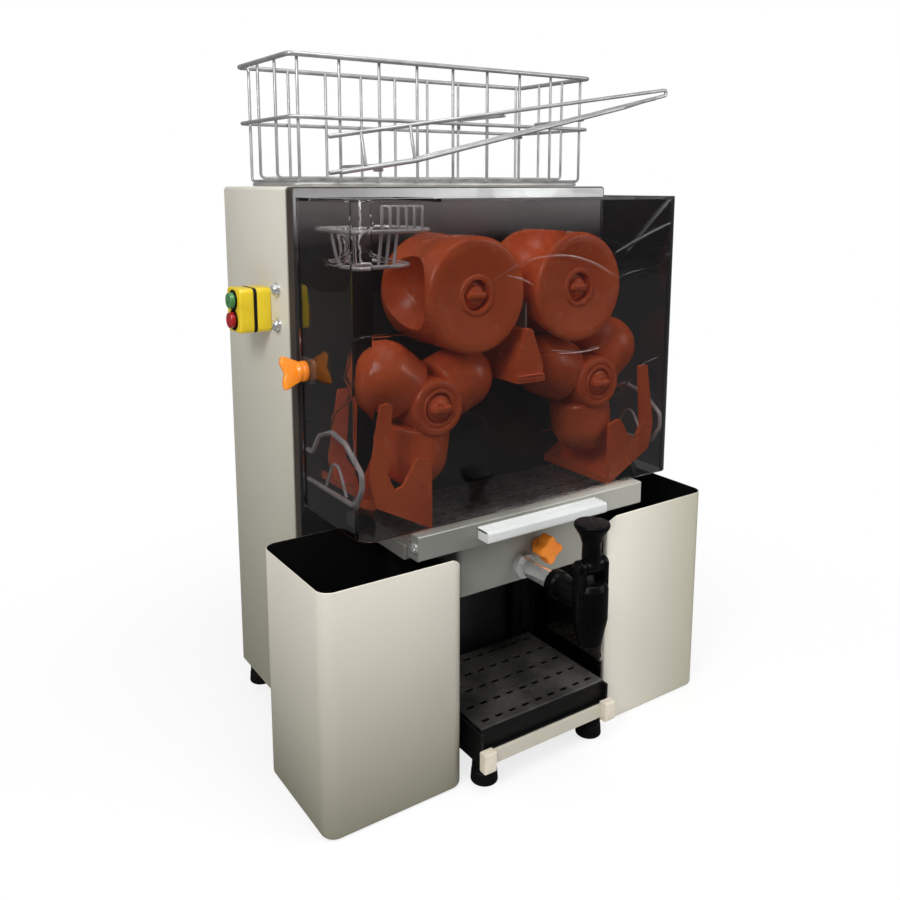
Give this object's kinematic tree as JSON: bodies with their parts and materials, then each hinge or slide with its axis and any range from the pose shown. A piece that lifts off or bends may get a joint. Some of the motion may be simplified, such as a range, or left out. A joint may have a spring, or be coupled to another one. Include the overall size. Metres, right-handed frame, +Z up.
{
  "type": "automatic orange juicer",
  "caption": "Counter-top automatic citrus juicer: steel cabinet, smoked hood over geared cup and ball drums, wire fruit basket and ramp, filter drawer, juice tank with tap, peel bins.",
  "frame": {"origin": "on the counter, under the middle of the whole machine's bounding box", "axes": "+X to the right of someone who faces the machine, +Y to its back, +Z up"},
  "size_m": [0.486, 0.423, 0.7138],
  "materials": {
    "stainless": "brushed",
    "chrome": "polished",
    "orange_plastic": "satin",
    "smoked_clear": "clear",
    "cream_plastic": "satin",
    "black_plastic": "satin",
    "black_rubber": "matte",
    "white_plastic": "satin",
    "yellow_plastic": "satin",
    "green_plastic": "gloss",
    "red_plastic": "gloss",
    "shaft_steel": "turned",
    "gear_steel": "machined",
    "bearing_bronze": "turned",
    "motor_grey": "painted"
  },
  "bodies": {
    "machine": {"cabinet_shell": "stainless", "front_plate": "stainless", "back_panel": "stainless", "cover_fasteners": "stainless", "cable_gland": "black_plastic", "cabinet_floor": "stainless", "feet": "black_rubber", "front_base": "black_plastic", "front_rail": "stainless", "rail_clips": "white_plastic", "shaft_bearings": "bearing_bronze", "gear_plate": "gear_steel", "plate_standoffs": "gear_steel", "gearmotor": "motor_grey", "knife_holder": "orange_plastic", "knife_blade": "stainless", "peel_ejector_left": "orange_plastic", "peel_ejector_right": "orange_plastic", "peel_guards": "chrome", "feed_chute": "chrome", "hood_tabs": "stainless", "juice_tank": "stainless", "outlet_pipe": "chrome", "tap_body": "black_plastic", "drawer_runners": "stainless", "switch_box": "yellow_plastic", "switch_gasket": "black_plastic"},
    "upper_left_drum": {"drum_upper_left": "orange_plastic", "shaft_upper_left": "shaft_steel", "gear_upper_left": "gear_steel"},
    "upper_left_knob": {"drum_knob_upper_left": "orange_plastic"},
    "upper_right_drum": {"drum_upper_right": "orange_plastic", "shaft_upper_right": "shaft_steel", "gear_upper_right": "gear_steel"},
    "upper_right_knob": {"drum_knob_upper_right": "orange_plastic"},
    "lower_left_drum": {"drum_lower_left": "orange_plastic", "shaft_lower_left": "shaft_steel", "gear_lower_left": "gear_steel"},
    "lower_left_knob": {"drum_knob_lower_left": "orange_plastic"},
    "lower_right_drum": {"drum_lower_right": "orange_plastic", "shaft_lower_right": "shaft_steel", "gear_lower_right": "gear_steel"},
    "lower_right_knob": {"drum_knob_lower_right": "orange_plastic"},
    "pinion": {"motor_pinion": "gear_steel"},
    "hood": {"hood": "smoked_clear"},
    "left_side_knob": {"side_knob_left": "orange_plastic"},
    "right_side_knob": {"side_knob_right": "orange_plastic"},
    "tap_handle": {"tap_lever": "black_plastic"},
    "drawer": {"filter_frame": "stainless", "filter_screen": "stainless", "drawer_grip": "white_plastic"},
    "left_bin": {"peel_bin_left": "cream_plastic"},
    "right_bin": {"peel_bin_right": "cream_plastic"},
    "drip_pan": {"drip_tray": "stainless"},
    "grille": {"drip_grille": "stainless"},
    "clamp_knob": {"tank_clamp_knob": "orange_plastic"},
    "start": {"start_button": "green_plastic"},
    "stop": {"stop_button": "red_plastic"},
    "basket": {"fruit_basket": "chrome", "feed_ramp": "chrome"}
  },
  "joints": [
    {"name": "upper_left_spin", "type": "hinge", "parent": "machine", "child": "upper_left_drum", "pos_m": [-0.064, 0.0195, 0.486], "axis": [0, 1, 0], "continuous": true},
    {"name": "upper_left_knob_turn", "type": "hinge", "parent": "upper_left_drum", "child": "upper_left_knob", "pos_m": [-0.064, -0.0805, 0.486], "axis": [0, 1, 0], "continuous": true},
    {"name": "upper_right_spin", "type": "hinge", "parent": "machine", "child": "upper_right_drum", "pos_m": [0.064, 0.0195, 0.486], "axis": [0, 1, 0], "continuous": true},
    {"name": "upper_right_knob_turn", "type": "hinge", "parent": "upper_right_drum", "child": "upper_right_knob", "pos_m": [0.064, -0.0805, 0.486], "axis": [0, 1, 0], "continuous": true},
    {"name": "lower_left_spin", "type": "hinge", "parent": "machine", "child": "lower_left_drum", "pos_m": [-0.102, 0.0195, 0.38064], "axis": [0, 1, 0], "continuous": true},
    {"name": "lower_left_knob_turn", "type": "hinge", "parent": "lower_left_drum", "child": "lower_left_knob", "pos_m": [-0.102, -0.0785, 0.38064], "axis": [0, 1, 0], "continuous": true},
    {"name": "lower_right_spin", "type": "hinge", "parent": "machine", "child": "lower_right_drum", "pos_m": [0.102, 0.0195, 0.38064], "axis": [0, 1, 0], "continuous": true},
    {"name": "lower_right_knob_turn", "type": "hinge", "parent": "lower_right_drum", "child": "lower_right_knob", "pos_m": [0.102, -0.0785, 0.38064], "axis": [0, 1, 0], "continuous": true},
    {"name": "pinion_spin", "type": "hinge", "parent": "machine", "child": "pinion", "pos_m": [0.102, 0.0195, 0.28464], "axis": [0, 1, 0], "continuous": true},
    {"name": "left_side_knob_turn", "type": "hinge", "parent": "machine", "child": "left_side_knob", "pos_m": [-0.2, 0.0075, 0.412], "axis": [1, 0, 0], "continuous": true},
    {"name": "right_side_knob_turn", "type": "hinge", "parent": "machine", "child": "right_side_knob", "pos_m": [0.2, 0.0075, 0.412], "axis": [1, 0, 0], "continuous": true},
    {"name": "clamp_knob_turn", "type": "hinge", "parent": "machine", "child": "clamp_knob", "pos_m": [0.014, -0.0925, 0.222], "axis": [0, 1, 0], "continuous": true},
    {"name": "tap_flip", "type": "hinge", "parent": "machine", "child": "tap_handle", "pos_m": [-0.006, -0.1945, 0.24], "axis": [1, 0, 0], "range_deg": [0, 35]},
    {"name": "hood_lift_off", "type": "slide", "parent": "machine", "child": "hood", "axis": [0, -1, 0], "range_m": [0, 0.07]},
    {"name": "drawer_pull", "type": "slide", "parent": "machine", "child": "drawer", "axis": [0, -1, 0], "range_m": [0, 0.048]},
    {"name": "left_bin_pull", "type": "slide", "parent": "machine", "child": "left_bin", "axis": [0, -1, 0], "range_m": [0, 0.14]},
    {"name": "right_bin_pull", "type": "slide", "parent": "machine", "child": "right_bin", "axis": [0, -1, 0], "range_m": [0, 0.14]},
    {"name": "drip_pan_lift", "type": "slide", "parent": "machine", "child": "drip_pan", "axis": [0, 0, 1], "range_m": [0, 0.08]},
    {"name": "grille_lift", "type": "slide", "parent": "drip_pan", "child": "grille", "axis": [0, 0, 1], "range_m": [0, 0.04]},
    {"name": "basket_lift", "type": "slide", "parent": "machine", "child": "basket", "axis": [0, 0, 1], "range_m": [0, 0.08]},
    {"name": "start_press", "type": "slide", "parent": "machine", "child": "start", "axis": [1, 0, 0], "range_m": [0, 0.003], "stiffness_N_per_m": 400},
    {"name": "stop_press", "type": "slide", "parent": "machine", "child": "stop", "axis": [1, 0, 0], "range_m": [0, 0.003], "stiffness_N_per_m": 400}
  ],
  "couplings": [
    {"joint": "upper_right_spin", "follows": "upper_left_spin", "ratio": -1},
    {"joint": "lower_left_spin", "follows": "upper_left_spin", "ratio": -1},
    {"joint": "lower_right_spin", "follows": "upper_left_spin", "ratio": 1},
    {"joint": "pinion_spin", "follows": "upper_left_spin", "ratio": -1.4}
  ]
}
